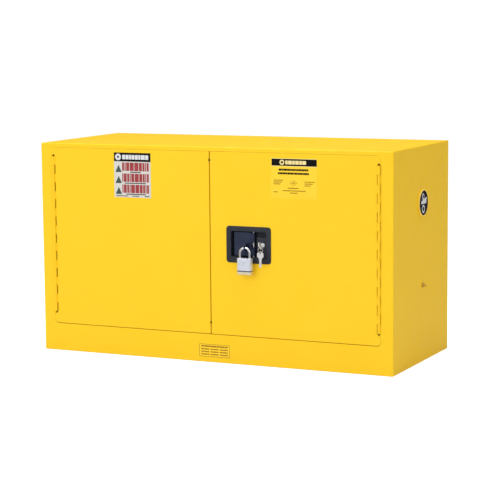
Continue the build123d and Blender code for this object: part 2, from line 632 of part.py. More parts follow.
def key_blank(bow, blade_width, blade_length, hole):
    """A key drawn in the YZ plane with its blade along +Y from the bow's middle, 2 mm thick in X."""
    half = 1.0
    outline = fillet(RegularPolygon(bow * 1.05, 6).vertices(), bow * 0.42)
    bow_disc = extrude(Plane.YZ * outline, half, both=True)
    neck = block((-half, half), (0, bow + 0.8), (-blade_width / 2 - 1.2, blade_width / 2 + 1.2))
    blade = block((-half, half), (0, bow + 3 + blade_length), (-blade_width / 2, blade_width / 2))
    tip = blade.faces().sort_by(Axis.Y)[-1].edges().filter_by(Axis.X)
    key = bow_disc + neck + chamfer(tip, 1.8)
    for n, depth in enumerate((1.2, 0.5, 1.6, 0.9, 1.3)):
        y = bow + 7 + n * (blade_length - 9) / 5
        key -= Pos(0, y, blade_width / 2 + 0.4) * Rot(45, 0, 0) * Box(4, 1.2 + depth, 1.2 + depth)
    return key - drum((-half - 1, hole[0], hole[1]), KEY_HOLE_R, 4, "+x")


def ring_top():
    """Where the key ring passes through the bow of the key in the lock."""
    along, up = KEY_HOLE
    turn = radians(KEY_TURN)
    return LOCK_X + up * sin(turn), FRONT + along, LOCK_Z + up * cos(turn)


def make_keys():
    bow_y = FRONT - 0.5 - 12.0
    key = Pos(0, bow_y, 0) * key_blank(BOW_R, 7.0, 20, (KEY_HOLE[0] + 12.5, KEY_HOLE[1]))
    keep("key", at_lock(key))
    x, y, z = ring_top()
    ring = Pos(x, y, z - RING_R) * Rot(0, 0, RING_TURN) * Rot(90, 0, 0) * Torus(RING_R, RING_WIRE_R)
    keep("key_ring", ring)
    bow = 10.5
    hole_up = 6.5
    spare = Rot(0, 0, 90) * Rot(-90, 0, 0) * key_blank(bow, 7.0, 21, (-hole_up, 0))
    keep("spare_key", Pos(x, y, z - 2 * RING_R - hole_up) * spare)


# -- padlock ----------------------------------------------------------------------------------------
def make_padlock():
    """A laminated padlock: the shackle through the paddle's eye, and the body on its legs."""
    x, y = PADLOCK_X, PADLOCK_Y
    crown_z = SHACKLE_TOP - SHACKLE_SPAN
    crown = Pos(x, y, crown_z) * Rot(90, 0, 0) * Torus(SHACKLE_SPAN, SHACKLE_R)
    shackle = crown & block((x - 30, x + 30), (y - 10, y + 10), (crown_z, crown_z + 30))
    for sign, foot in ((-1, 276.0), (1, 292.0)):
        shackle += drum((x + sign * SHACKLE_SPAN, y, foot), SHACKLE_R, crown_z - foot)
    keep("padlock_shackle", shackle)
    half_x, half_y = PADLOCK_HALF
    low, high = PADLOCK_Z
    body = Pos(x, y, low) * extrude(RectangleRounded(2 * half_x, 2 * half_y, 6), high - low)
    body = fillet(body.faces().sort_by(Axis.Z)[-1].edges(), 1.5)
    body = chamfer(body.faces().sort_by(Axis.Z)[0].edges(), 1.2)
    plates = 15
    pitch = (high - low - 6) / plates
    groove = RectangleRounded(2 * half_x + 4, 2 * half_y + 4, 8)
    groove -= RectangleRounded(2 * half_x - 0.8, 2 * half_y - 0.8, 5.6)
    for n in range(plates + 1):
        body -= Pos(x, y, low + 3 + n * pitch - 0.2) * extrude(groove, 0.4)
    for sign, foot in ((-1, 274.0), (1, 274.0)):
        body -= drum((x + sign * SHACKLE_SPAN, y, foot), SHACKLE_R + 0.15, high - foot + 1)
    for sx in (-1, 1):
        for sy in (-1, 1):
            body += drum((x + sx * 17, y + sy * 5, low + 0.5), 2, 1.1, "-z")
    body += drum((x, y, low + 0.5), 6.5, 1.3, "-z")
    body -= block((x - 4, x + 4), (y - 0.9, y + 0.9), (low - 2, low + 10))
    keep("padlock_body", body)


# -- labels -----------------------------------------------------------------------------------------
def make_labels():
    for name, (x, z, width, height) in (
        ("hazard_label", HAZARD_LABEL),
        ("info_label", INFO_LABEL),
        ("sill_label", SILL_LABEL),
    ):
        outline = Pos(x, z) * RectangleRounded(width, height, 2)
        keep(name, panel(outline, FRONT - LABEL_THICKNESS, LABEL_THICKNESS))


def main():
    make_front_frame(make_shell())
    make_strikes()
    make_liner()
    make_standards()
    make_shelf()
    make_vents()
    make_ground()
    make_doors()
    keep("hinge_pins", [make_hinge(side) for side in (-1, 1)])
    make_housing()
    make_paddle()
    make_latch()
    make_guides()
    make_lock()
    make_keys()
    make_padlock()
    make_labels()
    os.makedirs("parts", exist_ok=True)
    for name, shape in PARTS.items():
        export_step(shape, f"parts/{name}.step")
    print(len(PARTS), "nodes")


main()
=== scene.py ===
# %% [markdown]
# # A flammable storage cabinet: finishes, prints and light
#
# The shape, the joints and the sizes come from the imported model, which is loaded first and never changed
# here. What this script adds is what the eye sees: powder coat, galvanised and plated steel, cast and
# moulded black parts, printed labels, and the small printed discs on the vent caps. Everything is in
# metres. +Z is up and the doors face -Y.

import json
from math import cos, radians, sin, tau

import bmesh
import bpy
from mathutils import Matrix, Vector


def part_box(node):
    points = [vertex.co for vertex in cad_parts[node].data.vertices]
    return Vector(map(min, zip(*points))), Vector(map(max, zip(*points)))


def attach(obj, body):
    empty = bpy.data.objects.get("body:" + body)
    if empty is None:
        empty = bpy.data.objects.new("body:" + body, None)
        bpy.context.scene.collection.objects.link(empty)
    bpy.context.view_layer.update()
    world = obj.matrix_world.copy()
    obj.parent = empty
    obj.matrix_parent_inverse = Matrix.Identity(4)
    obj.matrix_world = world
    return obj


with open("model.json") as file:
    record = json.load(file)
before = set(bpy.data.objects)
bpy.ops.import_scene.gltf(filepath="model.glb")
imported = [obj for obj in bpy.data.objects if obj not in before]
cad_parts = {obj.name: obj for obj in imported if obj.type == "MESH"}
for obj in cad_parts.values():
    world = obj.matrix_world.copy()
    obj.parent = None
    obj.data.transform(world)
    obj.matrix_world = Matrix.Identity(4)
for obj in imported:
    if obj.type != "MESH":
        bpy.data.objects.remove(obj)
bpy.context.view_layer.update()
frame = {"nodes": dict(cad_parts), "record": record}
nodes = frame["nodes"]
MM = 0.001

# %% [markdown]
# ## Camera, light and floor
#
# The camera stands a little to the right and a little above, some five metres away with a long lens, as for
# a catalogue picture: the far side then hardly shrinks and upright edges stay upright. It is placed by the
# angle it looks from, so that every number says something about the picture.

# %% Camera
AZIMUTH, ELEVATION, ROLL = radians(25.14), radians(7.25), radians(-0.52)
DISTANCE = 5.234
TARGET = Vector((-0.0071, 0.0, 0.314))
SENSOR = 36.0
LENS = 132.9

towards_camera = Vector((sin(AZIMUTH) * cos(ELEVATION), -cos(AZIMUTH) * cos(ELEVATION), sin(ELEVATION)))
level_right = Vector((cos(AZIMUTH), sin(AZIMUTH), 0.0))
level_up = towards_camera.cross(level_right)
right = level_right * cos(ROLL) + level_up * sin(ROLL)
up = level_up * cos(ROLL) - level_right * sin(ROLL)

camera = bpy.data.objects.new("camera", bpy.data.cameras.new("camera"))
camera.data.lens = LENS
camera.data.sensor_width = SENSOR
camera.data.clip_end = 60.0
bpy.context.scene.collection.objects.link(camera)
turned = Matrix((right, up, towards_camera)).transposed().to_4x4()
camera.matrix_world = Matrix.Translation(TARGET + towards_camera * DISTANCE) @ turned
bpy.context.scene.camera = camera
print("camera at", [round(c, 3) for c in camera.matrix_world.translation])

# %% [markdown]
# The sky, the floor's paper and every finish are trees of shader nodes. One small builder adds nodes and
# joins them, so that each tree reads as a few short lines.


# %% A small builder for node trees
class Tree:
    """Adds nodes to a tree and joins them, with short calls."""

    def __init__(self, tree):
        self.tree = tree

    def join(self, output, socket):
        self.tree.links.new(output, socket)

    def fill(self, sockets, values):
        """Fills sockets, by name or place, each with a value or with another node's output."""
        for key, value in values.items():
            if isinstance(value, bpy.types.NodeSocket):
                self.join(value, sockets[key])
            else:
                sockets[key].default_value = value

    def add(self, kind, values=None, **settings):
        """Adds a node with its settings and fills its sockets."""
        node = self.tree.nodes.new(kind)
        for key, value in settings.items():
            setattr(node, key, value)
        self.fill(node.inputs, values or {})
        return node

    def maths(self, operation, *values):
        return self.add("ShaderNodeMath", dict(enumerate(values)), operation=operation).outputs[0]

    def mix(self, share, first, second):
        """Mixes two numbers."""
        return self.add("ShaderNodeMix", {0: share, 2: first, 3: second}).outputs[0]

    def blend(self, share, first, second):
        """Mixes two colours."""
        return self.add("ShaderNodeMix", {0: share, 6: first, 7: second}, data_type="RGBA").outputs[2]

    def remap(self, value, low, high, to_low=0.0, to_high=1.0):
        """Stretches a span of a value to another span and clamps it."""
        values = {0: value, 1: low, 2: high, 3: to_low, 4: to_high}
        return self.add("ShaderNodeMapRange", values, clamp=True).outputs[0]

    def place(self):
        """The point's place in the piece's own metres."""
        return self.add("ShaderNodeTexCoord").outputs["Object"]

    def noise(self, scale, detail, roughness=0.5, place=None):
        """A noise's value, laid out in the piece's own metres unless another place is given."""
        values = {"Vector": place or self.place(), "Scale": scale, "Detail": detail, "Roughness": roughness}
        return self.add("ShaderNodeTexNoise", values).outputs[0]


def spaced(values):
    """Socket names with their spaces, from names with underscores."""
    return {key.replace("_", " "): value for key, value in values.items()}


def new_finish(name, **fixed):
    """A material with fixed values on its Principled shader, its tree and the shader."""
    material = bpy.data.materials.new(name)
    material.use_nodes = True
    tree = Tree(material.node_tree)
    shader = material.node_tree.nodes["Principled BSDF"]
    tree.fill(shader.inputs, spaced(fixed))
    return material, tree, shader


def feed(tree, shader, height=None, bump=0.2, depth=0.0002, **varying):
    """Joins varying outputs to the shader, and a height to its normal through a Bump node."""
    tree.fill(shader.inputs, spaced(varying))
    if height is not None:
        bumped = tree.add("ShaderNodeBump", {"Height": height, "Strength": bump, "Distance": depth})
        tree.join(bumped.outputs[0], shader.inputs["Normal"])


# %% [markdown]
# A saturated yellow only stays itself under white light with a plain tone curve, so the view transform is
# the standard one. A white sky fills the shadows; one large soft lamp from the front left makes the doors
# the brightest face, and a broad lamp overhead lights the top. Smooth paint seen at a flat angle mirrors
# what stands behind it, and a white mirror image would wash the yellow out. So the sky is darker behind the
# cabinet where it is mirrored, as it is in a studio whose lit walls stand at the front only.

# %% Soft studio light
scene = bpy.context.scene
scene.view_settings.view_transform = "Standard"

SKY_SEEN = 1.0
SKY_FOR_LIGHT, SKY_IN_FRONT, SKY_BEHIND = 0.56, 0.90, 0.03
sky = bpy.data.worlds.new("sky")
sky.use_nodes = True
sky_tree = Tree(sky.node_tree)
background = sky.node_tree.nodes["Background"]
ray = sky_tree.add("ShaderNodeLightPath").outputs
direction = sky_tree.add("ShaderNodeTexCoord").outputs["Generated"]
towards_back = sky_tree.add("ShaderNodeSeparateXYZ", {0: direction}).outputs["Y"]
mirrored = sky_tree.remap(towards_back, -0.5, 0.4, SKY_IN_FRONT, SKY_BEHIND)
unseen = sky_tree.mix(ray["Is Glossy Ray"], SKY_FOR_LIGHT, mirrored)
strength = sky_tree.mix(ray["Is Camera Ray"], unseen, SKY_SEEN)
sky_tree.fill(background.inputs, {"Color": (1.0, 1.0, 1.0, 1.0), "Strength": strength})
scene.world = sky


def soft_lamp(name, place, aim, size, power):
    """A square area lamp that looks from a place towards a point."""
    data = bpy.data.lights.new(name, "AREA")
    data.shape = "SQUARE"
    data.size = size
    data.energy = power
    lamp = bpy.data.objects.new(name, data)
    lamp.location = place
    lamp.rotation_euler = (Vector(aim) - Vector(place)).to_track_quat("-Z", "Y").to_euler()
    scene.collection.objects.link(lamp)


soft_lamp("front_lamp", (-1.3, -3.6, 2.0), (0.0, 0.0, 0.3), 2.2, 43.0)
soft_lamp("top_lamp", (0.2, -0.2, 3.2), (0.0, 0.0, 0.5), 2.4, 68.0)
soft_lamp("side_lamp", (3.0, -2.2, 2.1), (0.5, -0.3, 0.5), 1.6, 8.5)

# %% [markdown]
# The floor is plain pale paper. It glows a little where the eye sees it, so that it runs into the white
# backdrop without a horizon, and it is darker in mirror images, as paper is outside the pool of light.

# %% Floor
FLOOR_HALF = 30.0
floor_mesh = bpy.data.meshes.new("floor")
corners = [(x * FLOOR_HALF, y * FLOOR_HALF, 0.0) for x, y in ((-1, -1), (1, -1), (1, 1), (-1, 1))]
floor_mesh.from_pydata(corners, [], [(0, 1, 2, 3)])
floor = bpy.data.objects.new("floor", floor_mesh)
scene.collection.objects.link(floor)
WHITE = (1.0, 1.0, 1.0, 1.0)
PAPER, PAPER_MIRRORED = (0.82, 0.82, 0.82, 1.0), (0.30, 0.30, 0.31, 1.0)
GLOW_ON_THINGS, GLOW_SEEN = 0.08, 0.56
paper, tree, shader = new_finish("floor_paper", Roughness=0.9, Specular_IOR_Level=0.0, Emission_Color=WHITE)
ray = tree.add("ShaderNodeLightPath").outputs
glow = tree.mix(ray["Is Camera Ray"], GLOW_ON_THINGS, GLOW_SEEN)
tint = tree.blend(ray["Is Glossy Ray"], PAPER, PAPER_MIRRORED)
feed(tree, shader, Base_Color=tint, Emission_Strength=glow)
floor_mesh.materials.append(paper)

# %% [markdown]
# ## Effects that several finishes share
#
# Each effect is a node group with named inputs and outputs. It is built once and then placed in each
# material with that material's own numbers. A group only gives out colours, masks, values and heights; the
# shader that uses them stays in the material. All patterns are laid out in the object's own metres, so a
# grain of 2 mm is 2 mm on every piece and moves with the piece.


# %% Making and placing groups
def new_group(name, inputs, outputs):
    """A shader node group from its inputs (name: default) and its outputs (name: kind of socket)."""
    group = bpy.data.node_groups.new(name, "ShaderNodeTree")
    for label, default in inputs.items():
        kind = "NodeSocketColor" if isinstance(default, tuple) else "NodeSocketFloat"
        socket = group.interface.new_socket(label, in_out="INPUT", socket_type=kind)
        socket.default_value = default
    for label, kind in outputs.items():
        group.interface.new_socket(label, in_out="OUTPUT", socket_type=kind)
    tree = Tree(group)
    given = tree.add("NodeGroupInput").outputs
    result = tree.add("NodeGroupOutput").inputs
    return tree, given, result


def from_group(tree, name, **values):
    """Places a group in a material and fills its inputs. Spaces in input names are written as underscores."""
    group = bpy.data.node_groups[name]
    return tree.add("ShaderNodeGroup", spaced(values), node_tree=group).outputs


# %% [markdown]
# **Tone drift.** No sprayed or printed surface has one exact colour: film thickness and light years shift
# it by a few percent. Two noises of different size pull the colour towards a second one.

# %% Group: tone drift
tree, given, result = new_group(
    "tone_drift",
    {"Colour": WHITE, "Second colour": (0.9, 0.9, 0.9, 1.0), "Patch size": 0.12, "Amount": 0.5},
    {"Colour": "NodeSocketColor", "Mask": "NodeSocketFloat"},
)
wide = tree.noise(tree.maths("DIVIDE", 1.0, given["Patch size"]), 3.0, 0.55)
mask = tree.maths("MULTIPLY", tree.remap(wide, 0.32, 0.68), given["Amount"])
tree.join(tree.blend(mask, given["Colour"], given["Second colour"]), result["Colour"])
tree.join(mask, result["Mask"])
print("group", tree.tree.name)

# %% [markdown]
# **Grain.** Powder coat sets with a faint orange peel, moulded plastic has a fine spark-eroded texture and
# cast metal a coarser one. They are the same effect at different sizes: a rolling noise with a finer one on
# top. The height goes to a Bump node and the second output loosens the roughness.

# %% Group: surface grain
tree, given, result = new_group(
    "surface_grain",
    {"Size": 0.002, "Fine share": 0.3, "Low roughness": 0.3, "High roughness": 0.4},
    {"Height": "NodeSocketFloat", "Roughness": "NodeSocketFloat"},
)
scale = tree.maths("DIVIDE", 1.0, given["Size"])
rolling = tree.noise(scale, 1.0)
fine = tree.noise(tree.maths("MULTIPLY", scale, 5.3), 2.0)
height = tree.maths("ADD", rolling, tree.maths("MULTIPLY", fine, given["Fine share"]))
cloudy = tree.noise(23.0, 4.0, 0.6)
uneven = tree.maths("ADD", tree.maths("MULTIPLY", cloudy, 0.7), tree.maths("MULTIPLY", fine, 0.3))
rough = tree.remap(uneven, 0.35, 0.65, given["Low roughness"], given["High roughness"])
tree.join(height, result["Height"])
tree.join(rough, result["Roughness"])
print("group", tree.tree.name)

# %% [markdown]
# ** Edge highlight and rub.** A mask along edges. On the paint, the vent caps and the black mouldings it carries a
# painted highlight, paler where rounded edges would catch the light; on nickel it darkens rubbed edges. A
# Bevel node gives the normal that a rounded edge would have; where it differs from the true normal, there is
# an edge. Noise breaks it up.

# %% Group: edge highlight and rub
tree, given, result = new_group(
    "edge_highlight_and_rub", {"Width": 0.0015, "Amount": 0.5, "Breakup size": 0.01}, {"Mask": "NodeSocketFloat"}
)
rounded_normal = tree.add("ShaderNodeBevel", {"Radius": given["Width"]}, samples=4).outputs[0]
true_normal = tree.add("ShaderNodeNewGeometry").outputs["Normal"]
compared = tree.add("ShaderNodeVectorMath", {0: rounded_normal, 1: true_normal}, operation="DOT_PRODUCT")
edge = tree.remap(tree.maths("SUBTRACT", 1.0, compared.outputs["Value"]), 0.02, 0.25)
broken = tree.noise(tree.maths("DIVIDE", 1.0, given["Breakup size"]), 4.0)
# The edge mask, broken by noise: a painted highlight on paint and mouldings, rubbed edges on nickel.
highlight_and_rub = tree.maths("MULTIPLY", edge, tree.remap(broken, 0.42, 0.62))
tree.join(tree.maths("MULTIPLY", highlight_and_rub, given["Amount"]), result["Mask"])
print("group", tree.tree.name)

# %% [markdown]
# **Dust.** A little dust settles on what faces up. The mask follows the upward part of the normal and a
# soft noise, and the material mixes its colour and roughness by it.

# %% Group: settled dust
tree, given, result = new_group(
    "settled_dust", {"Amount": 0.2, "Patch size": 0.05}, {"Mask": "NodeSocketFloat"}
)
normal = tree.add("ShaderNodeNewGeometry").outputs["Normal"]
upward = tree.add("ShaderNodeSeparateXYZ", {0: normal}).outputs["Z"]
patches = tree.noise(tree.maths("DIVIDE", 1.0, given["Patch size"]), 5.0, 0.65)
settled = tree.maths("MULTIPLY", tree.remap(upward, 0.5, 1.0), tree.remap(patches, 0.35, 0.75))
tree.join(tree.maths("MULTIPLY", settled, given["Amount"]), result["Mask"])
print("group", tree.tree.name)

# %% [markdown]
# **Scratches.** Bright metal is never blank: it carries hair-fine lines, mostly along the way it was
# polished or handled. Noise stretched a hundredfold along one axis makes such lines.

# %% Group: hair scratches
tree, given, result = new_group(
    "hair_scratches",
    {"Line width": 0.0004, "Along X": 0.02, "Along Y": 1.0, "Along Z": 1.0, "Amount": 0.5},
    {"Lines": "NodeSocketFloat", "Height": "NodeSocketFloat"},
)
by_axis = {0: given["Along X"], 1: given["Along Y"], 2: given["Along Z"]}
stretch = tree.add("ShaderNodeCombineXYZ", by_axis).outputs[0]
stretched = tree.add("ShaderNodeVectorMath", {0: tree.place(), 1: stretch}, operation="MULTIPLY").outputs[0]
lines = tree.noise(tree.maths("DIVIDE", 1.0, given["Line width"]), 3.0, 0.7, stretched)
sharp = tree.remap(lines, 0.4, 0.7)
tree.join(tree.maths("MULTIPLY", sharp, given["Amount"]), result["Lines"])
tree.join(lines, result["Height"])
print("group", tree.tree.name)

# %% [markdown]
# **Spangle.** Hot-dip zinc freezes in flat crystals a few millimetres across, each with its own grey. A
# Voronoi cell pattern gives the crystals, and each cell's random value sets its tone and its shine.

# %% Group: zinc spangle
tree, given, result = new_group(
    "zinc_spangle", {"Crystal size": 0.009}, {"Tone": "NodeSocketFloat", "Borders": "NodeSocketFloat"}
)
BEND_BY = (0.004, 0.004, 0.004)
bend = tree.add("ShaderNodeTexNoise", {"Vector": tree.place(), "Scale": 90.0, "Detail": 2.0}).outputs["Color"]
bent = tree.add("ShaderNodeVectorMath", {0: bend, 1: BEND_BY}, operation="MULTIPLY").outputs[0]
wavy = tree.add("ShaderNodeVectorMath", {0: tree.place(), 1: bent}, operation="ADD").outputs[0]
crystal_scale = tree.maths("DIVIDE", 1.0, given["Crystal size"])
cells = tree.add("ShaderNodeTexVoronoi", {"Vector": wavy, "Scale": crystal_scale})
tone = tree.add("ShaderNodeSeparateColor", {0: cells.outputs["Color"]}).outputs[0]
tree.join(tone, result["Tone"])
tree.join(tree.remap(cells.outputs["Distance"], 0.45, 0.75), result["Borders"])
print("group", tree.tree.name)

# %% [markdown]
# ## Finishes
#
# Each finish is one material: a Principled shader whose fixed values stand on its own sockets, fed by the
# groups above where something varies.


# %% The grain of a finish
FINISHES = {}
DUST = (0.78, 0.74, 0.62, 1.0)


def grain_of(tree, size, fine_share, roughness):
    """The height and roughness of a surface's grain, from its size and the span of its roughness."""
    low, high = roughness
    values = {"Size": size, "Fine_share": fine_share, "Low_roughness": low, "High_roughness": high}
    return from_group(tree, "surface_grain", **values)


# %% [markdown]
# ** Yellow powder coat.** The cabinet is sprayed with powder and baked: a thick, slightly soft gloss with
# orange peel of about 2 mm, a touch deeper where the film is thick, and a painted highlight: paler along the
# edges, where rounded folds catch the light.


# %% Yellow powder coat
def powder_coat(name, colour, deeper, highlight_colour, peel=0.0022, edge_rub_and_highlight=0.3, dust=0.05):
    material, tree, shader = new_finish(name, Coat_Weight=0.02, Coat_Roughness=0.2, Specular_IOR_Level=0.14)
    drift = from_group(tree, "tone_drift", Colour=colour, Second_colour=deeper, Patch_size=0.16, Amount=0.55)
    edges = from_group(tree, "edge_highlight_and_rub", Width=0.0012, Amount=edge_rub_and_highlight, Breakup_size=0.006)
    dusty = from_group(tree, "settled_dust", Amount=dust, Patch_size=0.06)
    grain = grain_of(tree, peel, 0.12, (0.34, 0.46))
    # Painted highlight: the edges are mixed towards a paler colour.
    colour_out = tree.blend(edges["Mask"], drift["Colour"], highlight_colour)
    colour_out = tree.blend(dusty["Mask"], colour_out, DUST)
    rough = tree.maths("ADD", grain["Roughness"], tree.maths("MULTIPLY", dusty["Mask"], 0.5))
    feed(tree, shader, height=grain["Height"], bump=0.12, Base_Color=colour_out, Roughness=rough)
    return material


# The third colour is the paler painted highlight along the cabinet's edges.
FINISHES["yellow_paint"] = powder_coat(
    "yellow_paint", (0.960, 0.612, 0.020, 1.0), (0.945, 0.585, 0.016, 1.0), (0.97, 0.68, 0.06, 1.0)
)
print("finish yellow_paint")

# %% [markdown]
# **Galvanised and plated steel.** The shelf, its standards and the channels under the floor are hot-dip
# galvanised; the latch and the screws are thinly zinc plated, so they are smoother and a little bluish.


# %% Galvanised, plated and bright steel
def galvanised(name):
    material, tree, shader = new_finish(name, Metallic=1.0)
    spangle = from_group(tree, "zinc_spangle", Crystal_size=0.010)
    grain = grain_of(tree, 0.0012, 0.4, (0.34, 0.44))
    colour = tree.blend(spangle["Tone"], (0.50, 0.52, 0.54, 1.0), (0.70, 0.71, 0.72, 1.0))
    colour = tree.blend(tree.maths("MULTIPLY", spangle["Borders"], 0.35), colour, (0.42, 0.44, 0.46, 1.0))
    rough = tree.maths("ADD", grain["Roughness"], tree.maths("MULTIPLY", spangle["Tone"], 0.12))
    feed(tree, shader, height=grain["Height"], bump=0.1, Base_Color=colour, Roughness=rough)
    return material


def bright_metal(name, colour, second, roughness, lines=0.5, edge_rub_and_highlight=0.0, metal=1.0):
    """Plated or polished metal with tone drift, hair lines along X and, if wanted, darker edges."""
    material, tree, shader = new_finish(name, Metallic=metal)
    drift = from_group(tree, "tone_drift", Colour=colour, Second_colour=second, Patch_size=0.012, Amount=0.7)
    hair = from_group(tree, "hair_scratches", Line_width=0.0004, Along_X=0.02, Amount=lines)
    grain = grain_of(tree, 0.001, 0.3, roughness)
    rough = tree.maths("ADD", grain["Roughness"], tree.maths("MULTIPLY", hair["Lines"], 0.12))
    colour_out = drift["Colour"]
    if edge_rub_and_highlight:
        edges = from_group(tree, "edge_highlight_and_rub", Width=0.0006, Amount=edge_rub_and_highlight, Breakup_size=0.003)
        colour_out = tree.blend(edges["Mask"], colour_out, second)
    feed(tree, shader, height=hair["Height"], bump=0.05, depth=0.0001, Base_Color=colour_out, Roughness=rough)
    return material


METALS = {
    "zinc_plate": ((0.66, 0.68, 0.71, 1), (0.56, 0.57, 0.58, 1), (0.28, 0.40)),
    "stainless": ((0.74, 0.74, 0.75, 1), (0.64, 0.64, 0.65, 1), (0.18, 0.28)),
    "stainless_mesh": ((0.42, 0.42, 0.43, 1), (0.30, 0.30, 0.31, 1), (0.40, 0.55)),
    "spring_steel": ((0.60, 0.61, 0.63, 1), (0.48, 0.49, 0.50, 1), (0.22, 0.32)),
    "brass": ((0.83, 0.62, 0.26, 1), (0.66, 0.46, 0.17, 1), (0.24, 0.36)),
    "chrome": ((0.86, 0.87, 0.89, 1), (0.78, 0.79, 0.81, 1), (0.07, 0.14)),
    "nickel": ((0.88, 0.88, 0.87, 1), (0.78, 0.77, 0.75, 1), (0.20, 0.30)),
}
WEAR = {"chrome": {"lines": 0.35}, "nickel": {"edge_rub_and_highlight": 0.3, "metal": 0.65}}

FINISHES["galvanised_steel"] = galvanised("galvanised_steel")
for name, (colour, second, roughness) in METALS.items():
    FINISHES[name] = bright_metal(name, colour, second, roughness, **WEAR.get(name, {}))
print("metal finishes:", [n for n in FINISHES if n != "yellow_paint"])

# %% [markdown]
# ** Black castings and mouldings.** The handle's tub is a die casting with a fine black texture coat; the
# paddle is smoother and bluer. Their edges are painted a paler grey, a painted highlight line.


# %% Black and moulded finishes
def moulded(name, colour, second, highlight_colour, grain_size, roughness):
    material, tree, shader = new_finish(name, Specular_IOR_Level=0.2)
    drift = from_group(tree, "tone_drift", Colour=colour, Second_colour=second, Patch_size=0.03, Amount=0.8)
    edges = from_group(tree, "edge_highlight_and_rub", Width=0.0008, Amount=0.4, Breakup_size=0.004)
    grain = grain_of(tree, grain_size, 0.6, roughness)
    dusty = from_group(tree, "settled_dust", Amount=0.12, Patch_size=0.02)
    # Painted highlight: the edges are mixed towards a paler grey.
    colour_out = tree.blend(edges["Mask"], drift["Colour"], highlight_colour)
    colour_out = tree.blend(dusty["Mask"], colour_out, (0.35, 0.33, 0.30, 1.0))
    feed(tree, shader, height=grain["Height"], bump=0.3, Base_Color=colour_out, Roughness=grain["Roughness"])
    return material


# Each entry: colour, second colour, paler grey of the painted edge highlight, grain size, roughness span.
MOULDED = {
    "handle_black": (
        (0.031, 0.035, 0.046, 1), (0.021, 0.024, 0.033, 1), (0.10, 0.11, 0.14, 1), 0.0006, (0.42, 0.56)
    ),
    "paddle_black": (
        (0.026, 0.034, 0.072, 1), (0.018, 0.024, 0.050, 1), (0.12, 0.13, 0.18, 1), 0.0009, (0.34, 0.46)
    ),
    "guide_plastic": ((0.03, 0.03, 0.03, 1), (0.02, 0.02, 0.02, 1), (0.1, 0.1, 0.1, 1), 0.0008, (0.40, 0.50)),
}
for name, values in MOULDED.items():
    FINISHES[name] = moulded(name, *values)
# The vent caps take the paler colour strongly along their rims: a painted highlight ring.
FINISHES["cap_plastic"] = powder_coat(
    "cap_plastic",
    (0.97, 0.72, 0.16, 1.0),
    (0.94, 0.66, 0.10, 1.0),
    (0.99, 0.84, 0.40, 1.0),
    peel=0.0008,
    edge_rub_and_highlight=0.6,
)
print("moulded finishes:", list(MOULDED) + ["cap_plastic"])

# %% [markdown]
# **Laminated padlock.** The body is a stack of plated steel plates on brass rivets. The plates' edges are
# brushed across, the foot plate is brass-coloured, and a dark strip runs just above it.


# %% Padlock body
def laminated(name, node):
    """Bands by height in millimetres over the padlock's foot: a brass plate, a dark strip, then steel."""
    foot_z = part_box(node)[0].z
    material, tree, shader = new_finish(name, Metallic=0.55)
    height = tree.add("ShaderNodeSeparateXYZ", {0: tree.place()}).outputs["Z"]

    def over(level, soft):
        """1 over a level, 0 under it and a soft step between."""
        return tree.remap(height, foot_z + (level - soft) * MM, foot_z + (level + soft) * MM)

    foot = tree.maths("SUBTRACT", 1.0, over(8.6, 0.4))
    strip = tree.maths("SUBTRACT", over(9.5, 0.2), over(12.5, 0.2))
    hair = from_group(tree, "hair_scratches", Line_width=0.0003, Along_X=0.03, Along_Y=0.03, Amount=0.6)
    light, dark = (0.80, 0.84, 0.93, 1), (0.70, 0.74, 0.84, 1)
    drift = from_group(tree, "tone_drift", Colour=light, Second_colour=dark, Patch_size=0.01, Amount=0.6)
    grain = grain_of(tree, 0.001, 0.3, (0.22, 0.34))
    colour = tree.blend(strip, drift["Colour"], (0.10, 0.09, 0.07, 1.0))
    colour = tree.blend(foot, colour, (0.86, 0.76, 0.50, 1.0))
    rough = tree.maths("ADD", grain["Roughness"], tree.maths("MULTIPLY", hair["Lines"], 0.15))
    feed(tree, shader, height=hair["Height"], bump=0.08, depth=0.0001, Base_Color=colour, Roughness=rough)
    return material


FINISHES["padlock_chrome"] = laminated("padlock_chrome", "padlock_body")
print("finish padlock_chrome")

# %% [markdown]
# **Vinyl and ink.** The labels are printed vinyl: a smooth film with a little sheen. The print itself is
# made as very thin raised shapes, because geometry stays sharp however near the camera comes. All of it is
# generic: blocks where a real label has words, and plain triangles and rings where it has signs.


# %% Vinyl grounds and inks
def film(name, colour, second, gloss=0.15):
    material, tree, shader = new_finish(name, Specular_IOR_Level=gloss)
    drift = from_group(tree, "tone_drift", Colour=colour, Second_colour=second, Patch_size=0.02, Amount=0.6)
    grain = grain_of(tree, 0.0012, 0.3, (0.40, 0.50))
    colour, rough = drift["Colour"], grain["Roughness"]
    feed(tree, shader, height=grain["Height"], bump=0.06, Base_Color=colour, Roughness=rough)
    return material


FINISHES["hazard_label"] = film("hazard_label", (0.66, 0.65, 0.62, 1), (0.61, 0.60, 0.56, 1))
FINISHES["yellow_label"] = film("yellow_label", (0.97, 0.65, 0.04, 1), (0.95, 0.61, 0.03, 1))
INKS = {
    "black_ink": film("black_ink", (0.004, 0.003, 0.004, 1), (0.009, 0.008, 0.009, 1), gloss=0.08),
    "pale_ink": film("pale_ink", (0.72, 0.73, 0.76, 1), (0.62, 0.63, 0.66, 1)),
    "cream_ink": film("cream_ink", (0.88, 0.74, 0.34, 1), (0.82, 0.66, 0.26, 1)),
    "red_ink": film("red_ink", (0.36, 0.055, 0.060, 1), (0.30, 0.045, 0.05, 1)),
    "green_ink": film("green_ink", (0.065, 0.095, 0.085, 1), (0.045, 0.07, 0.06, 1)),
    "ochre_ink": film("ochre_ink", (0.34, 0.19, 0.010, 1), (0.28, 0.15, 0.008, 1)),
}
print("inks:", sorted(INKS))

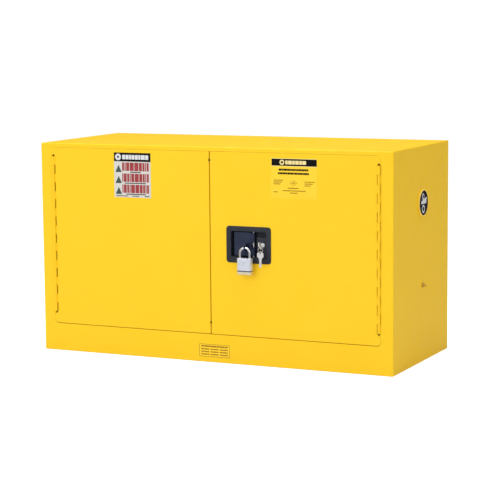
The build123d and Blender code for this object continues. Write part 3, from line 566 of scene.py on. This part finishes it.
# %% [markdown]
# ## Put the finishes on the cabinet's own pieces
#
# The record says which slot each node takes its finish from, so one loop dresses the whole model. The
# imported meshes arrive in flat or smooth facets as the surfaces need; their own shading is kept.

# %% Dress the CAD nodes
slots = {entry["node"]: entry["material_slot"] for entry in frame["record"]["subparts"]}
for name, node in nodes.items():
    node.data.materials.clear()
    node.data.materials.append(FINISHES[slots[name]])
print("dressed", len(nodes), "nodes in", len(set(slots.values())), "finishes")

# %% [markdown]
# ## Prints
#
# A print is drawn in millimetres on a sheet with its own corner, then laid on its label. Each colour of a
# label is one mesh: a set of flat outlines, drawn up to a film as thick as a heavy coat of ink.

# %% Outlines, in the sheet's own millimetres
INK_THICKNESS = 0.06 * MM


def bar(x, z, width, height, corner=0.0):
    """A bar from its lower left corner, with rounded corners if asked."""
    if corner <= 0:
        return [(x, z), (x + width, z), (x + width, z + height), (x, z + height)]
    points = []
    right_x, top_z = width - corner, height - corner
    turns = ((right_x, corner, -90), (right_x, top_z, 0), (corner, top_z, 90), (corner, corner, 180))
    for cx, cz, start in turns:
        for step in range(5):
            angle = radians(start + step * 22.5)
            points.append((x + cx + corner * cos(angle), z + cz + corner * sin(angle)))
    return points


def row_of_blocks(x, z, width, height, pattern, gap=0.14):
    """A line of upright blocks where a real label has a word. The pattern gives each block's share."""
    unit = width / (sum(pattern) + gap * (len(pattern) - 1))
    blocks = []
    for share in pattern:
        blocks.append(bar(x, z, unit * share, height, min(unit * share, height) * 0.12))
        x += unit * (share + gap)
    return blocks


def ring(x, z, outer, inner, steps=40):
    """A flat ring as a strip of four-sided outlines."""
    pieces = []
    for n in range(steps):
        a, b = n * tau / steps, (n + 1) * tau / steps
        corners = ((outer, a), (outer, b), (inner, b), (inner, a))
        pieces.append([(x + r * cos(t), z + r * sin(t)) for r, t in corners])
    return pieces


def disc(x, z, radius, steps=40):
    return [(x + radius * cos(n * tau / steps), z + radius * sin(n * tau / steps)) for n in range(steps)]


def frame_lines(x, z, width, height, line):
    """Four bars round a sheet."""
    return [
        bar(x, z, width, line),
        bar(x, z + height - line, width, line),
        bar(x, z + line, line, height - 2 * line),
        bar(x + width - line, z + line, line, height - 2 * line),
    ]


# %% Turn outlines into a thin mesh
def print_on(name, outlines, ink, body, origin, across, upward, outward, lift=0.0):
    """Lays outlines on a plane: origin is the sheet's corner, across and upward its directions."""
    mesh = bpy.data.meshes.new(name)
    work = bmesh.new()
    for outline in outlines:
        flat = [origin + across * (x * MM) + upward * (z * MM) + outward * lift for x, z in outline]
        raised = [point + outward * INK_THICKNESS for point in flat]
        low = [work.verts.new(point) for point in flat]
        high = [work.verts.new(point) for point in raised]
        work.faces.new(high)
        work.faces.new(list(reversed(low)))
        for n in range(len(low)):
            work.faces.new((low[n - 1], low[n], high[n], high[n - 1]))
    bmesh.ops.recalc_face_normals(work, faces=work.faces)
    work.to_mesh(mesh)
    work.free()
    mesh.materials.append(INKS[ink])
    piece = bpy.data.objects.new(name, mesh)
    scene.collection.objects.link(piece)
    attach(piece, body)
    print("print", name, len(outlines), "shapes")


def sheet_of(node):
    """A label node's width and height in millimetres."""
    low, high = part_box(node)
    return (high.x - low.x) / MM, (high.z - low.z) / MM


ACROSS, UPWARD, FORWARD = Vector((1, 0, 0)), Vector((0, 0, 1)), Vector((0, -1, 0))


def print_label(label, body, layers):
    """Prints the colours of one label, each as its own piece."""
    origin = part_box(label)[0]
    for ink, outlines in layers.items():
        lift = INK_THICKNESS if ink in ("pale_ink", "cream_ink") else 0.0
        print_on(f"{label}_{ink}", outlines, ink, body, origin, ACROSS, UPWARD, FORWARD, lift)


# %% [markdown]
# The left door's label has a black heading, then three rows: a dark triangle, a line of tall narrow red
# blocks that stands for a word, and a thin black underline. Small lines fill its foot.


# %% Hazard label
def hazard_label():
    width, height = sheet_of("hazard_label")
    band = 25.0
    black = [bar(0, height - band, width, band)]
    pale = ring(13.5, height - band / 2, 9.6, 3.2)
    pale += row_of_blocks(27, height - band / 2 - 6.5, 84, 13, (3, 3, 2, 3, 3, 2, 4, 3), gap=0.4)
    red, green = [], []
    words = ((2, 1, 3, 4, 4, 3, 2, 1, 2), (1, 3, 2, 1, 3, 4, 3, 2, 1, 2), (1, 3, 2, 1, 4, 4, 3, 2, 1, 2))
    underlines = ((52, 34), (34, 68), (38, 63))
    for row, pattern in enumerate(words):
        foot = 76.0 - row * 31.5
        red += row_of_blocks(26, foot, 86, 24.0, pattern, gap=0.55)
        green.append([(4.0, foot - 4.0), (25.0, foot - 4.0), (14.5, foot + 16.5)])
        start, length = underlines[row]
        black.append(bar(start, foot - 4.8, length, 2.6))
    black += row_of_blocks(6, 3.0, 38, 2.2, (3, 4, 3, 5))
    green += row_of_blocks(58, 2.8, 22, 2.4, (3, 4)) + row_of_blocks(98, 2.8, 14, 3.2, (3, 2))
    layers = {"black_ink": black, "pale_ink": pale, "red_ink": red, "green_ink": green}
    print_label("hazard_label", "left_door", layers)


hazard_label()

# %% [markdown]
# The right door's label is printed on yellow film: a black heading with a pale block, two dark lines, then
# small ochre lines round a diamond. The label on the sill is a plain ochre frame with short lines in three
# columns.


# %% Information label and sill label
def info_label():
    width, height = sheet_of("info_label")
    top = height - 21.0
    black = [bar(3.0, top, width - 4.5, 19.0)]
    cream = ring(34, top + 9.5, 7.2, 3.4)
    cream += row_of_blocks(44, top + 4.2, 62, 10.5, (2, 3, 2, 3, 2, 3), gap=0.3)
    cream += [bar(2.0, height - 2.0, width - 2.5, 1.2), bar(2.0, top - 1.6, width - 2.5, 1.2)]
    dark = row_of_blocks(24, top - 13.5, 88, 5.6, (3, 2, 4, 3, 2, 3, 1, 2, 3, 3, 2, 2), gap=0.25)
    dark += row_of_blocks(22, top - 23.5, 92, 5.6, (2, 3, 3, 2, 3, 3, 1, 3, 2, 3, 2, 3, 2), gap=0.25)
    ochre = []
    for n in range(3):
        ochre += row_of_blocks(9, 49 - n * 5.2, 28 - n * 4, 2.4, (3, 2, 4, 3))
        ochre += row_of_blocks(101, 46 - n * 5.2, 30 - n * 6, 2.2, (2, 4, 3))
    middle, level, reach, line = 68.0, 43.0, 11.0, 1.6
    tips = [(reach, 0), (0, reach * 0.72), (-reach, 0), (0, -reach * 0.72)]
    for (ax, az), (bx, bz) in zip(tips, tips[1:] + tips[:1]):
        inner = 1 - line / reach
        side = [(ax, az), (bx, bz), (bx * inner, bz * inner), (ax * inner, az * inner)]
        ochre.append([(middle + x, level + z) for x, z in side])
    ochre += row_of_blocks(63.5, 41.6, 9, 2.8, (2, 3, 2))
    ochre += row_of_blocks(52, 27.5, 31, 2.8, (3, 4, 3))
    ochre += row_of_blocks(36, 20.5, 68, 2.6, (3, 4, 2, 3, 5, 3))
    ochre += row_of_blocks(8, 16.5, 14, 2.4, (3, 2))
    ochre += row_of_blocks(58, 14.5, 22, 2.6, (3, 4))
    layers = {"black_ink": black + dark, "cream_ink": cream, "ochre_ink": ochre}
    print_label("info_label", "right_door", layers)


def sill_label():
    width, height = sheet_of("sill_label")
    ochre = frame_lines(0.8, 0.8, width - 1.6, height - 1.6, 1.3)
    ochre += row_of_blocks(7, 29.0, 83, 4.2, (3, 4, 2, 5, 3, 4, 3), gap=0.3)
    for column in range(3):
        for row in range(3):
            ochre += row_of_blocks(7 + column * 29, 21.0 - row * 7.4, 25, 3.4, (3, 2, 4, 2 + row), gap=0.3)
    print_label("sill_label", "cabinet", {"ochre_ink": ochre})


info_label()
sill_label()

# %% [markdown]
# The face of each vent cap has a shallow black disc inside its pale rim. Its print is a made-up sign: one
# small ring over another, with a slanting flag between them.


# %% Vent discs
RECESS = 0.6 * MM
DISC_RADIUS = 34.6


def vent_disc(side):
    sign = 1 if side == "right" else -1
    low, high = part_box(f"{side}_vent_cap")
    floor_x = high.x - RECESS if sign > 0 else low.x + RECESS
    across, outward = Vector((0, sign, 0)), Vector((sign, 0, 0))
    centre = Vector((floor_x, (low.y + high.y) / 2, (low.z + high.z) / 2))
    pale = ring(-5, 18, 9.0, 5.4) + ring(-3, -17, 11.5, 7.0)
    pale.append([(-22, -2), (-19, 6), (24, 15), (20, -3)])
    shapes = {"black_ink": [disc(0, 0, DISC_RADIUS)], "pale_ink": pale}
    for ink, outlines in shapes.items():
        lift = INK_THICKNESS if ink == "pale_ink" else 0.0
        name, body = f"{side}_vent_{ink}", f"{side}_cap"
        print_on(name, outlines, ink, body, centre, across, UPWARD, outward, lift)


for side in ("left", "right"):
    vent_disc(side)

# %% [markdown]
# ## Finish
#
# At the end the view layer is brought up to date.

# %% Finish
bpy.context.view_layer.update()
